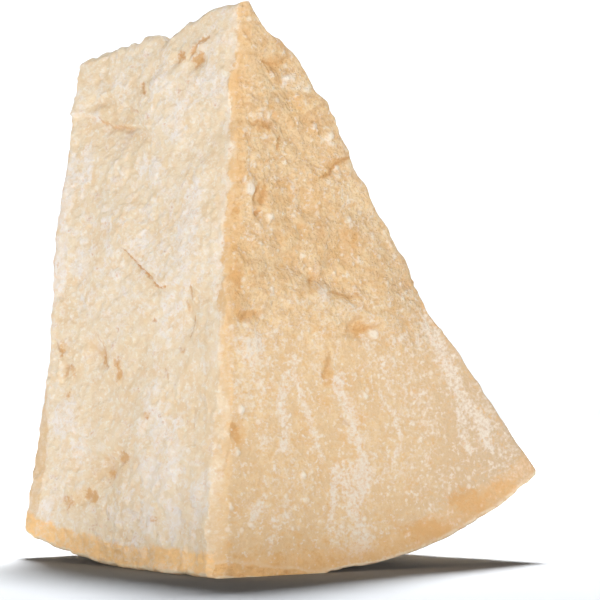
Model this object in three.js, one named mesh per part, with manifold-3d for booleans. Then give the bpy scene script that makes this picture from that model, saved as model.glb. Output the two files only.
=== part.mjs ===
// A wedge of hard, aged, granular cheese, broken out of half a wheel and stood on its curved side rind.
// Millimetres, +Z up. The wheel's axis is level and runs along Y, high over the place where the wedge stands.
// Front (-Y): the plane that split the wheel in two. Back (+Y): the wheel's flat rind.
// Near (-X) and far (+X): the two radial breaks. Below: the side rind. On top: the broken tip.
import * as THREE from "three";
import { ImprovedNoise } from "three/addons/math/ImprovedNoise.js";
import { mergeVertices } from "three/addons/utils/BufferGeometryUtils.js";
import Module from "manifold-3d";

// The wheel
const WHEEL_RADIUS = 200;
const DEPTH = 118; // half the wheel's height
const REST_SINK = 1.8; // the side rind is this much flattened where the wedge stands
const AXIS_Z = WHEEL_RADIUS - REST_SINK;

// The wedge in the wheel
const APEX = { x: -4.7, z: 196 }; // where the two radial breaks would meet
const NEAR_ANGLE = -6.85; // degrees from straight down, at the apex
const FAR_ANGLE_FRONT = 35.2;
const FAR_ANGLE_BACK = 26;
const FRONT_LEAN = 0.08; // the split leans back by this share of the height
const FRONT_Y = -58;
const BACK_Y = FRONT_Y + DEPTH;

// The side rind draws in towards the flat rind, and the flat rind stands out a little in a rim around it
const SHOULDER_Y = 0;
const SHOULDER_DROP = 7.5;
const RIM = { from: 62, to: 20, height: 2.6 };

// The broken crest of the tip, as [y, height]
const CREST = [
  [-44, 192.2],
  [-20, 189.4],
  [2, 182.8],
  [7, 180.6],
  [10, 183.2],
  [19, 183],
  [23, 179.8],
  [45, 178.4],
  [55, 177],
  [61, 172],
];

// How far the far break stands out from a flat one, by height: [height, offset]
const FAR_PROFILE = [
  [20, 0.5],
  [33, 0.9],
  [55, -0.9],
  [86, -3.4],
  [100, -1.3],
  [117, 0],
  [136, -0.3],
  [147, 2.2],
  [157, 4.2],
  [165, 5],
  [171, 4.6],
  [177, 2.4],
  [182, -1],
  [192, -0.6],
];

// The toe of the front edge has chipped off, which bares the side rind
const CHIP = { height: 5.5, near: -26, far: 22, slope: 0.75 };

// The front edge of the side rind is worn where the standing flat ends, and the rind swells beyond it
const WEAR = { at: [25, -58], size: [14, 26], depth: 1.4 };
const SWELL = { from: 40, to: 90, height: 1.3 };

// The box that is bent into the wedge: columns from near to far, slices from front to back, rows downwards
const COLUMNS = 25;
const SLICES = 24;
const ROWS = 48;
const ROW_CROWDING = 0.07; // how much closer the rows are at the tip and at the rind
const THIN = 14; // the faces are less broken where the tip is thinner than this

const EDGE_FOLLOW = 9; // how far the relief of one face pulls along the faces beside it
const WELD = 1e-4;
const TABLE = { size: 400, height: 30 };

const { clamp, degToRad, lerp, smoothstep } = THREE.MathUtils;
const noise = new ImprovedNoise();

// Reads a height off a line of [position, height] points
function alongLine(points, at) {
  const next = points.findIndex(([position]) => position > at);
  if (next === -1) return points[points.length - 1][1];
  if (next === 0) return points[0][1];
  const [p0, h0] = points[next - 1];
  const [p1, h1] = points[next];
  return lerp(h0, h1, (at - p0) / (p1 - p0));
}

// Layered noise of the given largest wavelength, from about -1 to 1
function rough(p, wavelength, layers, seed) {
  let sum = 0;
  let share = 1;
  let total = 0;
  for (let i = 0; i < layers; i++) {
    const k = 2 ** i / wavelength;
    sum += share * noise.noise(p.x * k + seed, p.y * k - seed, p.z * k + seed * 0.7);
    total += share;
    share *= 0.5;
  }
  return (1.6 * sum) / total;
}

// Sharp-crested noise, as on a broken face: 0 in the hollows, 1 on the ridges
function crags(p, wavelength, seed) {
  const coarse = 1 - Math.abs(rough(p, wavelength, 2, seed)) * 1.8;
  return clamp(coarse, 0, 1) ** 2;
}

// A round hollow or lump: 1 in its middle, 0 beyond its radius
function spot(a, b, [atA, atB], radiusA, radiusB) {
  const d = Math.hypot((a - atA) / radiusA, (b - atB) / radiusB);
  return 1 - smoothstep(d, 0.25, 1);
}

// Distance from (a, b) to the segment from one end to the other
function toSegment(a, b, [a0, b0], [a1, b1]) {
  const t = clamp(((a - a0) * (a1 - a0) + (b - b0) * (b1 - b0)) / ((a1 - a0) ** 2 + (b1 - b0) ** 2), 0, 1);
  return Math.hypot(a - lerp(a0, a1, t), b - lerp(b0, b1, t));
}

// Near break: shallow shells, grooves beside the front edge, a ledge, a crater by the tip and low hollows.
// Positions are [y, z].
const LEDGE = [
  [8, 134],
  [16, 151.5],
  [40, 153.5],
  [62, 158],
];
const LEDGE_DROP = { depth: 1.5, reach: 22 };
const CRATER = [-17, 171.5];
const NEAR_HOLLOWS = [
  { at: [26, 74], size: [11, 8], depth: 2.2 },
  { at: [14, 31], size: [14, 9], depth: 1.8 },
  { at: [44, 21], size: [10, 8], depth: 1.4 },
  { at: [-24, 60], size: [12, 22], depth: 1.2 },
  { at: [6, 128], size: [12, 18], depth: 1.3 },
];

function nearRelief(p) {
  const shells = 1.3 * rough(p, 44, 3, 3.1);
  const ridges = 0.8 * (crags(p, 26, 7.7) - 0.5);
  const grooveFade = 1 - smoothstep(p.y, FRONT_Y + 14, FRONT_Y + 50);
  const grooves = 0.35 * grooveFade * Math.sin(p.y * 0.6 + 3 * rough(p, 50, 2, 1.9));
  const spans = LEDGE.slice(1).map((end, i) => toSegment(p.y, p.z, LEDGE[i], end));
  const below = p.y > LEDGE[0][0] && p.z < alongLine(LEDGE, p.y);
  const ledge = below ? -LEDGE_DROP.depth * (1 - smoothstep(Math.min(...spans), 1, LEDGE_DROP.reach)) : 0;
  const crater = -3.2 * spot(p.y, p.z, CRATER, 9, 8);
  const hollows = NEAR_HOLLOWS.reduce((sum, h) => sum - h.depth * spot(p.y, p.z, h.at, ...h.size), 0);
  return shells + ridges + grooves + ledge + crater + hollows;
}

// Front split: granular and lumpy above, smoother below. Positions are [x, z].
const SMOOTH_BELOW = 95;
const FRONT_PITS = [
  { at: [-1, 126], size: [6, 8], depth: 2.6 },
  { at: [7, 169], size: [8, 4], depth: 1.6 },
  { at: [8, 145], size: [8, 4], depth: 1 },
  { at: [50, 93], size: [14, 9], depth: 1.3 },
  { at: [22, 99], size: [9, 8], depth: -1.2 },
];

function frontRelief(p) {
  const granular = smoothstep(p.z, SMOOTH_BELOW - 30, SMOOTH_BELOW + 20);
  const lumps = lerp(0.35, 1.3, granular) * rough(p, 30, 3, 11.3);
  const ridges = lerp(0.2, 1, granular) * (crags(p, 20, 5.2) - 0.4);
  const pits = FRONT_PITS.reduce((sum, h) => sum - h.depth * spot(p.x, p.z, h.at, ...h.size), 0);
  const chipHeight = CHIP.height * (1 - smoothstep(p.x, CHIP.near, CHIP.far));
  const chip = -CHIP.slope * Math.max(0, chipHeight - p.z);
  return lumps + ridges + pits + chip;
}

// Far break: the roughest, and calmer along the front edge
function farRelief(p) {
  const behind = smoothstep(p.y, FRONT_Y, FRONT_Y + 24);
  const lumps = lerp(0.5, 2.2, behind) * rough(p, 38, 3, 17.9);
  const ridges = lerp(0.4, 1.8, behind) * (crags(p, 24, 2.4) - 0.5);
  return alongLine(FAR_PROFILE, p.z) + lumps + ridges;
}

const backRelief = (p) => 0.5 * rough(p, 60, 2, 23.3) + RIM.height * (1 - smoothstep(p.z, RIM.to, RIM.from));
const tipRelief = (p) => 1.6 * rough(p, 16, 2, 31.7);

function rindRelief(p) {
  const wear = -WEAR.depth * spot(p.x, p.y, WEAR.at, ...WEAR.size);
  const swell = SWELL.height * smoothstep(p.x, SWELL.from, SWELL.to);
  return 0.4 * rough(p, 45, 2, 29.1) + 0.1 + wear + swell;
}

// Where the ray from the apex at an angle from straight down meets the side rind, at depth y
function rindReach(angle, y) {
  const t = clamp((y - SHOULDER_Y) / (BACK_Y - SHOULDER_Y), 0, 1);
  const radius = WHEEL_RADIUS - SHOULDER_DROP * t ** 1.5;
  const along = { x: Math.sin(angle), z: -Math.cos(angle) };
  const offset = { x: APEX.x, z: APEX.z - AXIS_Z };
  const b = offset.x * along.x + offset.z * along.z;
  const c = offset.x ** 2 + offset.z ** 2 - radius ** 2;
  return -b + Math.sqrt(b * b - c);
}

// The plain wedge: u across from near to far, v from the tip to the rind, w from front to back.
// The lean of the split and the height of the crest depend on each other, so both are met in a few steps.
function plainPoint(u, v, w) {
  const angle = degToRad(lerp(NEAR_ANGLE, lerp(FAR_ANGLE_FRONT, FAR_ANGLE_BACK, w), u));
  const point = new THREE.Vector3(0, lerp(FRONT_Y, BACK_Y, w), 0);
  for (let step = 0; step < 4; step++) {
    const tip = (APEX.z - alongLine(CREST, point.y)) / Math.cos(angle);
    const reach = lerp(tip, rindReach(angle, point.y), v);
    point.x = APEX.x + reach * Math.sin(angle);
    point.z = APEX.z - reach * Math.cos(angle);
    point.y = lerp(FRONT_Y + FRONT_LEAN * point.z, BACK_Y, w);
  }
  return point;
}

// Each face: its outward direction, how far a point of the box (u, v, w) lies from it, and its relief
const NEAR_OUT = new THREE.Vector3(-Math.cos(degToRad(NEAR_ANGLE)), 0, -Math.sin(degToRad(NEAR_ANGLE)));
const FAR_SKEW = Math.sin(degToRad(FAR_ANGLE_FRONT - FAR_ANGLE_BACK)) * 0.9;
const FAR_OUT = new THREE.Vector3(Math.cos(degToRad(32)), FAR_SKEW, Math.sin(degToRad(32))).normalize();
const FRONT_OUT = new THREE.Vector3(0, -1, FRONT_LEAN).normalize();
const BACK_OUT = new THREE.Vector3(0, 1, 0);
const TIP_OUT = new THREE.Vector3(0.3, 0, 1).normalize();
const rindOut = (p) => new THREE.Vector3(p.x, 0, p.z - AXIS_Z).normalize();

const SPREAD = Math.tan(degToRad(FAR_ANGLE_FRONT)) - Math.tan(degToRad(NEAR_ANGLE));
const widthAt = (p) => (APEX.z - p.z) * SPREAD;
const whole = (p) => smoothstep(widthAt(p), 1, THIN);
const FACES = [
  { out: () => NEAR_OUT, away: (u, v, w, p) => u * widthAt(p), relief: (p) => whole(p) * nearRelief(p) },
  { out: () => FAR_OUT, away: (u, v, w, p) => (1 - u) * widthAt(p), relief: (p) => whole(p) * farRelief(p) },
  { out: () => FRONT_OUT, away: (u, v, w) => w * DEPTH, relief: frontRelief },
  { out: () => BACK_OUT, away: (u, v, w) => (1 - w) * DEPTH, relief: backRelief },
  { out: rindOut, away: (u, v) => (1 - v) * WHEEL_RADIUS, relief: rindRelief },
  { out: () => TIP_OUT, away: (u, v) => v * WHEEL_RADIUS, relief: (p) => whole(p) * tipRelief(p) },
];
const [NEAR, FAR, FRONT, BACK, RIND, TIP] = FACES;

// How round the worn edges between two faces are
const EDGES = [
  { between: [NEAR, FRONT], radius: 7 },
  { between: [NEAR, BACK], radius: 2.5 },
  { between: [NEAR, RIND], radius: 3 },
  { between: [NEAR, TIP], radius: 3 },
  { between: [FAR, FRONT], radius: 3 },
  { between: [FAR, BACK], radius: 5 },
  { between: [FAR, RIND], radius: 3 },
  { between: [FRONT, RIND], radius: 1.5 },
  { between: [FRONT, TIP], radius: 3 },
  { between: [BACK, RIND], radius: 10 },
  { between: [BACK, TIP], radius: 3 },
];
const ROUND_SHARE = 1 - Math.SQRT1_2; // how far a rounded edge lies inside the sharp one

// The finished surface: the plain wedge, its edges rounded and its faces broken
function surfacePoint(u, v, w) {
  const plain = plainPoint(u, v, w);
  const away = new Map(FACES.map((face) => [face, face.away(u, v, w, plain)]));
  const point = plain.clone();
  for (const { between, radius } of EDGES) {
    const far = Math.max(...between.map((face) => away.get(face)));
    if (far > radius) continue;
    for (const face of between) {
      const other = between.find((f) => f !== face);
      const on = 1 - away.get(face) / radius;
      const inward = ROUND_SHARE * radius * on * (1 - away.get(other) / radius) ** 2;
      point.addScaledVector(face.out(plain), -inward);
    }
  }
  for (const face of FACES) {
    const share = 1 - smoothstep(away.get(face), 0, EDGE_FOLLOW);
    if (share > 0) point.addScaledVector(face.out(plain), share * face.relief(plain));
  }
  return point;
}

// A box whose every point is moved to its place on the wedge
function wedgeGeometry() {
  const box = new THREE.BoxGeometry(1, 1, 1, COLUMNS, SLICES, ROWS);
  box.deleteAttribute("normal");
  box.deleteAttribute("uv");
  const bent = mergeVertices(box, WELD);
  const { position } = bent.attributes;
  for (let i = 0; i < position.count; i++) {
    const t = 0.5 - position.getZ(i);
    const v = t - ROW_CROWDING * Math.sin(2 * Math.PI * t);
    const point = surfacePoint(position.getX(i) + 0.5, v, position.getY(i) + 0.5);
    position.setXYZ(i, point.x, point.y, point.z);
  }
  return bent;
}

// Solids, joined and cut by manifold-3d
const wasm = await Module();
wasm.setup();

function solidFrom(geometry) {
  const mesh = new wasm.Mesh({
    numProp: 3,
    vertProperties: new Float32Array(geometry.attributes.position.array),
    triVerts: new Uint32Array(geometry.index.array),
  });
  return new wasm.Manifold(mesh);
}

function geometryFrom(solid) {
  const mesh = solid.getMesh();
  const geometry = new THREE.BufferGeometry();
  geometry.setAttribute("position", new THREE.BufferAttribute(mesh.vertProperties, 3));
  geometry.setIndex(new THREE.BufferAttribute(mesh.triVerts, 1));
  const faceted = geometry.toNonIndexed();
  faceted.computeVertexNormals();
  return faceted;
}

// A thin spindle that opens a crack between two points of the near break, given as [y, z]
const CRACKS = [
  { from: [14.5, 109], to: [-11, 95.5], width: 1.8, depth: 5 },
  { from: [10.5, 167], to: [14, 159], width: 1.8, depth: 3 },
];
const CRACK_SIDES = 6;

function crackSolid({ from, to, width, depth }) {
  const length = Math.hypot(to[0] - from[0], to[1] - from[1]);
  const spindle = new THREE.SphereGeometry(0.5, CRACK_SIDES, CRACK_SIDES);
  spindle.deleteAttribute("normal");
  spindle.deleteAttribute("uv");
  const y = (from[0] + to[0]) / 2;
  const z = (from[1] + to[1]) / 2;
  const x = APEX.x + (APEX.z - z) * Math.tan(degToRad(NEAR_ANGLE));
  const tilt = Math.atan2(to[1] - from[1], to[0] - from[0]);
  spindle.scale(2 * depth, length, width);
  spindle.rotateX(tilt);
  spindle.translate(x - nearRelief(new THREE.Vector3(x, y, z)), y, z);
  return solidFrom(mergeVertices(spindle, WELD));
}

function tableSolid() {
  const table = new THREE.BoxGeometry(TABLE.size, TABLE.size, TABLE.height);
  table.deleteAttribute("normal");
  table.deleteAttribute("uv");
  table.translate(0, 0, -TABLE.height / 2);
  return solidFrom(mergeVertices(table, WELD));
}

function cheeseSolid() {
  let cheese = solidFrom(wedgeGeometry());
  for (const crack of CRACKS) cheese = cheese.subtract(crackSolid(crack));
  return cheese.subtract(tableSolid()); // leaves the small flat that it stands on
}

const paste = new THREE.MeshStandardMaterial({ color: 0xe6c99c, roughness: 0.72, metalness: 0 });
const wedge = new THREE.Mesh(geometryFrom(cheeseSolid()), paste);
wedge.name = "cheese_wedge";

const part = new THREE.Group();
part.add(wedge);

export default part;
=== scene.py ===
from math import cos, pi, radians, sin, tan
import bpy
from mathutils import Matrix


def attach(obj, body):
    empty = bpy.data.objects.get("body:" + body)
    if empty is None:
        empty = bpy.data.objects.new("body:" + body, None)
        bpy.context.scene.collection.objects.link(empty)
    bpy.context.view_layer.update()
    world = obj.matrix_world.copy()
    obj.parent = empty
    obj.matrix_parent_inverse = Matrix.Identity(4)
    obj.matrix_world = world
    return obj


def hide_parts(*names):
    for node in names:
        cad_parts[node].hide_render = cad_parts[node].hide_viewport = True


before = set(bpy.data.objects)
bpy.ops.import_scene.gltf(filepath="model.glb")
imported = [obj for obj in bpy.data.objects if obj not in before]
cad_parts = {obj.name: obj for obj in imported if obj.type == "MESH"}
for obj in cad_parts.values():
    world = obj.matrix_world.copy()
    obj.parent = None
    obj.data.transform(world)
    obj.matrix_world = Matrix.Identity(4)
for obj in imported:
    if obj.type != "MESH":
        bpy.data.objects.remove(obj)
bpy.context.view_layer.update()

from types import SimpleNamespace

import bmesh
import bpy
import numpy as np
from bpy.props import FloatProperty, FloatVectorProperty, IntProperty, PointerProperty
from mathutils import Vector, noise

# A wedge of hard, aged, granular cheese, broken out of half a wheel and stood on its curved side rind.
# Shapes are worked out in millimetres: X runs across the side rind, +Y along the wheel's axis to its flat
# rind, and +Z up.

bl_info = {
    "name": "Hard cheese wedge",
    "version": (1, 0, 0),
    "blender": (4, 5, 0),
    "location": "View3D > Sidebar > Cheese",
    "description": "A craggy wedge of hard aged cheese with its rind, and a plain studio around it",
    "category": "Add Mesh",
}

NODE = "cheese_wedge"
FOOD_LIGHTING = "lit_by_softboxes"
PAPER_LIGHTING = "lit_by_paper_lights"
MM = 0.001
GRAIN_STRETCH = (1.15, 1.45, 1)  # the paint's noises are this much longer along X and Y

# The broken crest of the tip, as (y, height)
CREST = (
    (-58, 193.2), (-44, 192.2), (-34, 190.6), (-30, 190.9), (-20, 189.2), (-10, 186.6), (-8, 186.9),
    (2, 182.8), (5.5, 180.8), (9, 183.4), (18, 183.2), (22, 180), (32, 179.3), (45, 178.4), (53, 177.4),
    (60, 176),
)
# How far the far break stands out from a flat one, as (height, offset)
FAR_PROFILE = (
    (20, 0.5), (33, 0.9), (44, -0.2), (55, -1.1), (66, -2.2), (76, -2.6), (86, -3.6), (93, -2.4),
    (100, -1.5), (107, -0.8), (117, 0.1), (127, -0.2), (136, -0.2), (147, 2.2), (157, 3.6), (165, 4.6),
    (171, 4.3), (177, 2.2), (182, -1), (192, -0.6),
)

# Broken plates of the near break, as (height, reach, line of (y, z)). What lies above a line stands proud.
NEAR_LEDGES = (
    (1.5, 7, ((60, 158), (53, 157.6), (47, 156.5), (41, 154.4), (38, 153.2), (30, 152), (21, 151.8))),
    (1.5, 9, ((-21.5, 96), (-15, 97), (-11, 95.5), (-4, 99.2), (1, 101.5), (6, 104.5), (14, 108.5))),
    (1.0, 7, ((40, 92), (33, 86), (29, 79), (25, 74.5), (21, 69.5), (12, 68))),
    (0.8, 5, ((55, 77), (50, 72), (46, 68.5), (43, 66))),
    (0.6, 4, ((24, 159), (16, 156.4), (12, 153))),
    (0.5, 7, ((5, 128), (-6, 124), (-15, 119))),
    (0.8, 6, ((30, 42), (20, 38), (8, 36), (0, 39))),
)
# Thin cracks, as (width, darkness, line of (y, z) on the near break or of (x, z) on the split). The darkness
# sets both the groove's depth and the painted shade in it
NEAR_CRACKS = (
    (0.42, 1.0, ((14.5, 108.6), (8.5, 106), (5, 103.7), (0.8, 101.2), (-3.5, 98.8), (-8, 96.4),
                 (-11, 95.3), (-13, 95.6))),
    (0.5, 0.6, ((43, 155.6), (41, 154.4), (38.5, 153.4), (30, 152), (20, 151.6))),
    (0.75, 0.75, ((14.8, 167), (12.8, 164.4), (10.8, 162.2))),
    (0.6, 0.7, ((-29.6, 96.5), (-30.4, 91))),
    (0.5, 0.6, ((-26.4, 92), (-27, 86.6))),
    (0.5, 0.6, ((-30, 86.4), (-30.6, 84), (-29.4, 78))),
    (0.6, 0.55, ((-22.4, 75.2), (-25.5, 73.6), (-27, 75.4))),
    (0.5, 0.5, ((-17.6, 68.4), (-19.6, 65.6), (-20.4, 63.6))),
    (0.8, 0.7, ((-8, 84.8), (-8.8, 83.6))),
    (0.6, 0.6, ((2.6, 106.8), (2, 105.6))),
    (0.9, 0.55, ((54.5, 76), (49.3, 71.6))),
    (0.9, 0.55, ((43.4, 68.4), (46.4, 68), (48, 64))),
    (1.4, 0.5, ((25.5, 75), (21, 69))),
    (0.5, 0.4, ((29, 80), (25.5, 75))),
    (0.9, 0.55, ((14.5, 70.5), (12.4, 68.2))),
    (0.5, 0.35, ((23.6, 158.8), (15.6, 156.2))),
    (0.9, 0.8, ((-25, 180), (-21.5, 179), (-17.4, 177.4), (-14, 175.6), (-13, 173.4))),
    (0.8, 0.6, ((-6.4, 175.6), (-11, 173.2))),
    (0.9, 0.6, ((-20.4, 173.4), (-19.2, 171.2), (-16.6, 169.6))),
)
FRONT_CRACKS = (
    (0.7, 0.7, ((1, 171), (5.6, 170.6), (10.5, 171.8))),
    (0.9, 0.6, ((5.8, 169.4), (6.4, 167.4))),
    (0.7, 0.5, ((-7, 184), (-5, 180), (-3.4, 176.6))),
    (0.7, 0.4, ((-4.6, 173.6), (-0.6, 172.6))),
    (0.5, 0.7, ((-4.6, 151.2), (-3.4, 149.7), (-1, 152.2))),
    (0.5, 0.7, ((0, 150.9), (2.4, 149.4), (4.4, 150.4))),
    (0.7, 0.7, ((-6.9, 147), (-6.5, 146.2))),
    (0.6, 0.9, ((5.3, 141.4), (6.2, 143.8), (6.8, 146.2))),
    (0.8, 0.5, ((16.6, 150.6), (18.6, 154), (22, 155.4))),
    (0.5, 0.5, ((17.3, 150), (18.6, 151.5), (21.1, 151.9), (23, 150.6))),
    (0.7, 0.6, ((22.8, 148), (24, 147.6))),
    (0.8, 0.9, ((35, 139.2), (30.8, 138.1), (28.1, 136.4), (25.9, 133.9), (22, 132.5))),
    (0.8, 0.8, ((-3, 129.4), (-4.2, 126.6), (-5.6, 124))),
    (0.8, 0.7, ((-0.2, 129.4), (-0.6, 126.3), (-1.8, 123.6))),
    (0.8, 0.9, ((-4.2, 119.6), (-1.8, 121.2))),
    (1.3, 0.45, ((2, 112), (4.6, 113.6))),
    (0.4, 0.5, ((6.6, 131.6), (4.4, 128.6))),
    (0.4, 0.5, ((21, 117.2), (21, 114), (22.4, 112.2))),
    (0.8, 0.5, ((-10.2, 87), (-12.8, 84.4))),
    (0.7, 0.4, ((-2.4, 87.8), (-7, 85.8))),
    (1.0, 0.7, ((18.2, 99.2), (16.2, 96.6))),
    (0.6, 0.75, ((24, 93.6), (25.4, 94.1), (28.1, 93.2), (31, 92), (33.5, 92.4), (35.8, 93.8))),
    (0.6, 0.5, ((35.8, 93.8), (38, 90), (40, 87.4))),
    (0.8, 0.5, ((30.4, 80.2), (31, 82.4), (33, 84), (36.6, 85.4))),
    (0.5, 0.5, ((34, 82), (39.2, 81.4), (45, 82.6))),
    (0.8, 0.6, ((23.8, 74), (22.2, 70.8), (21.2, 67), (20.6, 64))),
    (0.4, 0.45, ((26.4, 53), (30, 49.2))),
    (0.9, 0.4, ((-14.5, 49.4), (-19.5, 45.8))),
)
# Places that stand proud or lie low, as (y or x, z, half width, half height, height)
NEAR_FORMS = (
    (-18, 171.8, 10, 6.5, -1.3), (-5.5, 174, 4.5, 3, -1.0), (26, 73, 11, 7, -1.3),
    (14, 31, 13, 8, -1.2), (6, 38, 6, 5, -1.1), (25, 23, 7, 4, -1.1), (47, 66, 5, 8, -1.0),
    (-29, 85, 4, 10, -0.8), (8, 126, 12, 18, -0.7), (1.5, 135.5, 6, 5, 0.6), (47, 160.5, 8, 4, -0.9),
    (-2, 160, 10, 14, 0.7),
)
FRONT_FORMS = (
    (-2.4, 126.4, 4, 5, -1.5), (-2.6, 120.4, 3, 2.4, -1.2), (6, 169.5, 7, 3, -0.7),
    (28.5, 136, 7, 3.5, -1.2), (37, 80.5, 10, 4.5, -1.3), (40, 85, 9, 3.5, 1.0),
    (19.5, 102, 4, 4.5, 1.4), (20.7, 93.6, 6, 5, 1.3), (30.4, 88.6, 5, 3.6, 0.9), (-10, 86, 6, 3, -0.8),
    (-8, 76.5, 6, 5, 0.5), (30.8, 110.4, 3, 7, -1.1), (21.8, 115, 2.2, 3.6, 0.8),
    (12.2, 125, 3.5, 11, 0.6), (-16, 48, 6, 6, -1.0), (3, 151, 6, 3, -0.8), (20, 148, 5, 4, 0.6),
)
# White crystals large enough to see, as (x, z, radius) on the split
CRYSTALS = (
    (21, 150, 1.0), (26.6, 146.1, 1.1), (27.8, 144, 0.7), (29.8, 135.6, 1.1), (-7, 128, 1.8),
    (-9.4, 131.4, 1.0), (0.7, 118.7, 1.3), (10.5, 24.6, 0.9), (-19.5, 23.6, 1.1), (9.7, 32.9, 1.1),
    (-12.3, 17.1, 0.8), (4.6, 15.5, 0.7), (0.3, 98, 0.7), (0.1, 94.6, 0.9), (7.3, 90.6, 0.8),
    (27.3, 100.8, 0.8), (42.5, 79.6, 1.5), (-13.8, 55.3, 1.4), (37.5, 59.1, 1.2), (-16.2, 41.2, 1.1),
    (11.5, 166, 0.9), (17.5, 161.8, 1.0), (33.8, 118.8, 1.0), (5.4, 167.1, 0.9), (37, 105, 0.8),
    (14, 106, 0.7), (48, 97, 0.8), (56, 92, 0.7), (-4, 110, 0.7), (8, 138, 0.7), (60, 44, 0.8),
)
# Pale veins on the split, as (width, line of (x, z))
VEINS = (
    (1.1, ((8.6, 72), (8.4, 68), (6.2, 65.6), (3, 58.7), (3.6, 53.3), (4.4, 48.3), (2.9, 42))),
    (0.8, ((8.6, 66), (10.5, 61.5), (12.3, 56.5), (14.1, 51), (16.2, 45.7), (17.9, 38))),
    (1.3, ((26.9, 65), (26.6, 60.6), (28.5, 57.2), (30.5, 54.8), (31, 48.4), (32.8, 43.7), (34.6, 39.2),
           (36.4, 33.8), (34.7, 27), (30.8, 23.9), (29.7, 20.6), (33.6, 15.4), (34.2, 9))),
    (0.7, ((24, 36), (22.4, 24.5), (21.6, 20))),
    (1.5, ((66, 84), (70.5, 73.4), (74.5, 66.4), (78.4, 58.5), (83.3, 53.2), (88.2, 46.2), (90.5, 41))),
    (0.7, ((61.8, 79), (61.5, 73))),
    (0.7, ((56, 79), (51.4, 77.4))),
    (1.0, ((77, 53), (78.1, 47), (81.6, 39))),
    (0.8, ((-6, 26), (-9, 22), (-12, 17))),
    (0.9, ((-2, 18), (-4, 12), (-5, 6))),
    (0.6, ((44, 60), (50, 52), (52, 44), (49, 36))),
)
# Areas with more of the dry, whitish bloom, or of the warm, damp paste, in the same form but with a strength.
# Many warm areas sit in hollows, where they are partly painted shade
FRONT_BLOOM = (
    (32, 8, 11, 6, 0.7), (104, 32, 6, 4, 0.4), (80, 50, 5, 9, 0.3), (29, 30, 10, 12, 0.7),
    (26, 11, 11, 10, 0.5), (74, 68, 9, 14, 0.3), (88, 44, 7, 14, 0.2), (20.7, 93.6, 5, 5, 0.9),
    (19.5, 102, 3, 4, 0.5), (-8.2, 76.4, 8, 8, 0.8), (-17, 78, 4, 4, 0.6), (0, 80.5, 5, 4, 0.6),
    (-6, 70, 7, 4, 0.6), (3, 151.6, 5, 4, 0.5), (-1, 154, 4, 4, 0.5), (11.3, 165, 3, 5, 0.6),
    (6, 131.5, 4, 5, 0.5), (12.2, 125, 3, 10, 0.5), (40, 76.5, 4, 5, 0.7), (32, 105.5, 5, 4, 0.4),
    (-5, 44, 5, 5, 0.5), (-9, 22, 7, 5, 0.6), (2, 22, 5, 6, 0.5), (58, 60, 14, 14, 0.35),
    (46, 70, 16, 8, 0.35),
)
FRONT_WARM_AND_SHADE = (
    (-17, 160, 14, 50, 0.7), (-12, 108, 7, 22, 0.7), (-12.5, 121.8, 3, 3, 0.9), (-1, 126, 6, 6, 0.7),
    (-13, 93, 5, 12, 0.6), (-16, 47, 8, 10, 0.7), (5, 3, 70, 16, 0.8), (86, 24, 12, 8, 0.8),
    (105, 34, 8, 8, 0.3), (45, 8, 12, 8, 0.7), (37, 81, 9, 6, 0.7), (22, 68, 5, 12, 0.6),
    (22, 134, 6, 5, 0.6), (14, 154, 8, 8, 0.5), (30, 110, 22, 16, 0.35), (48, 92, 14, 12, 0.4),
    (6, 170, 9, 5, 0.5),
)
NEAR_BLOOM = (
    (2, 135.5, 6, 7, 0.9), (56, 132, 7, 18, 0.9), (56, 100, 6, 18, 0.7), (-10, 152, 9, 14, 0.5),
    (-46, 26, 8, 14, 0.7), (-17, 17, 9, 7, 0.7), (9, 137, 5, 5, 0.5), (45, 139, 8, 13, 0.7),
    (42, 97, 10, 24, 0.5), (46, 102, 6, 6, 0.6), (44, 49, 11, 11, 0.9), (32, 40, 9, 9, 0.7),
    (48, 18, 6, 6, 1.0), (-32, 18, 7, 8, 1.0), (-16.5, 33, 9, 7, 0.7), (-3, 8, 14, 3, 0.7),
    (-19, 48, 10, 6, 0.6), (-27, 50, 7, 4, 0.8), (-10, 60, 9, 8, 0.5), (-18, 85, 12, 16, 0.5),
    (3, 112, 7, 5, 0.7), (43, 156, 4, 5, 0.6), (-27, 168, 4, 8, 0.5), (30, 165, 14, 10, 0.35),
    (-24, 120, 12, 20, 0.4), (-14, 50, 14, 14, 0.35), (-30, 40, 8, 14, 0.5),
)
NEAR_WARM_AND_SHADE = (
    (31, 21, 9, 8, 0.9), (-16, 173, 11, 8, 0.8), (-4, 175, 6, 5, 0.6), (-2, 186, 30, 6, 0.4),
    (46, 170, 6, 7, 0.5), (14, 158, 16, 16, 0.4), (14, 118, 12, 18, 0.5), (0, 94, 9, 7, 0.6),
    (47, 68, 6, 12, 0.6), (22, 71, 9, 6, 0.6), (-14, 68, 18, 5, 0.6), (12, 34, 14, 9, 0.6),
    (24, 23, 9, 6, 0.8), (-34, 110, 2, 60, 0.5), (30, 110, 8, 10, 0.4),
)
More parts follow.
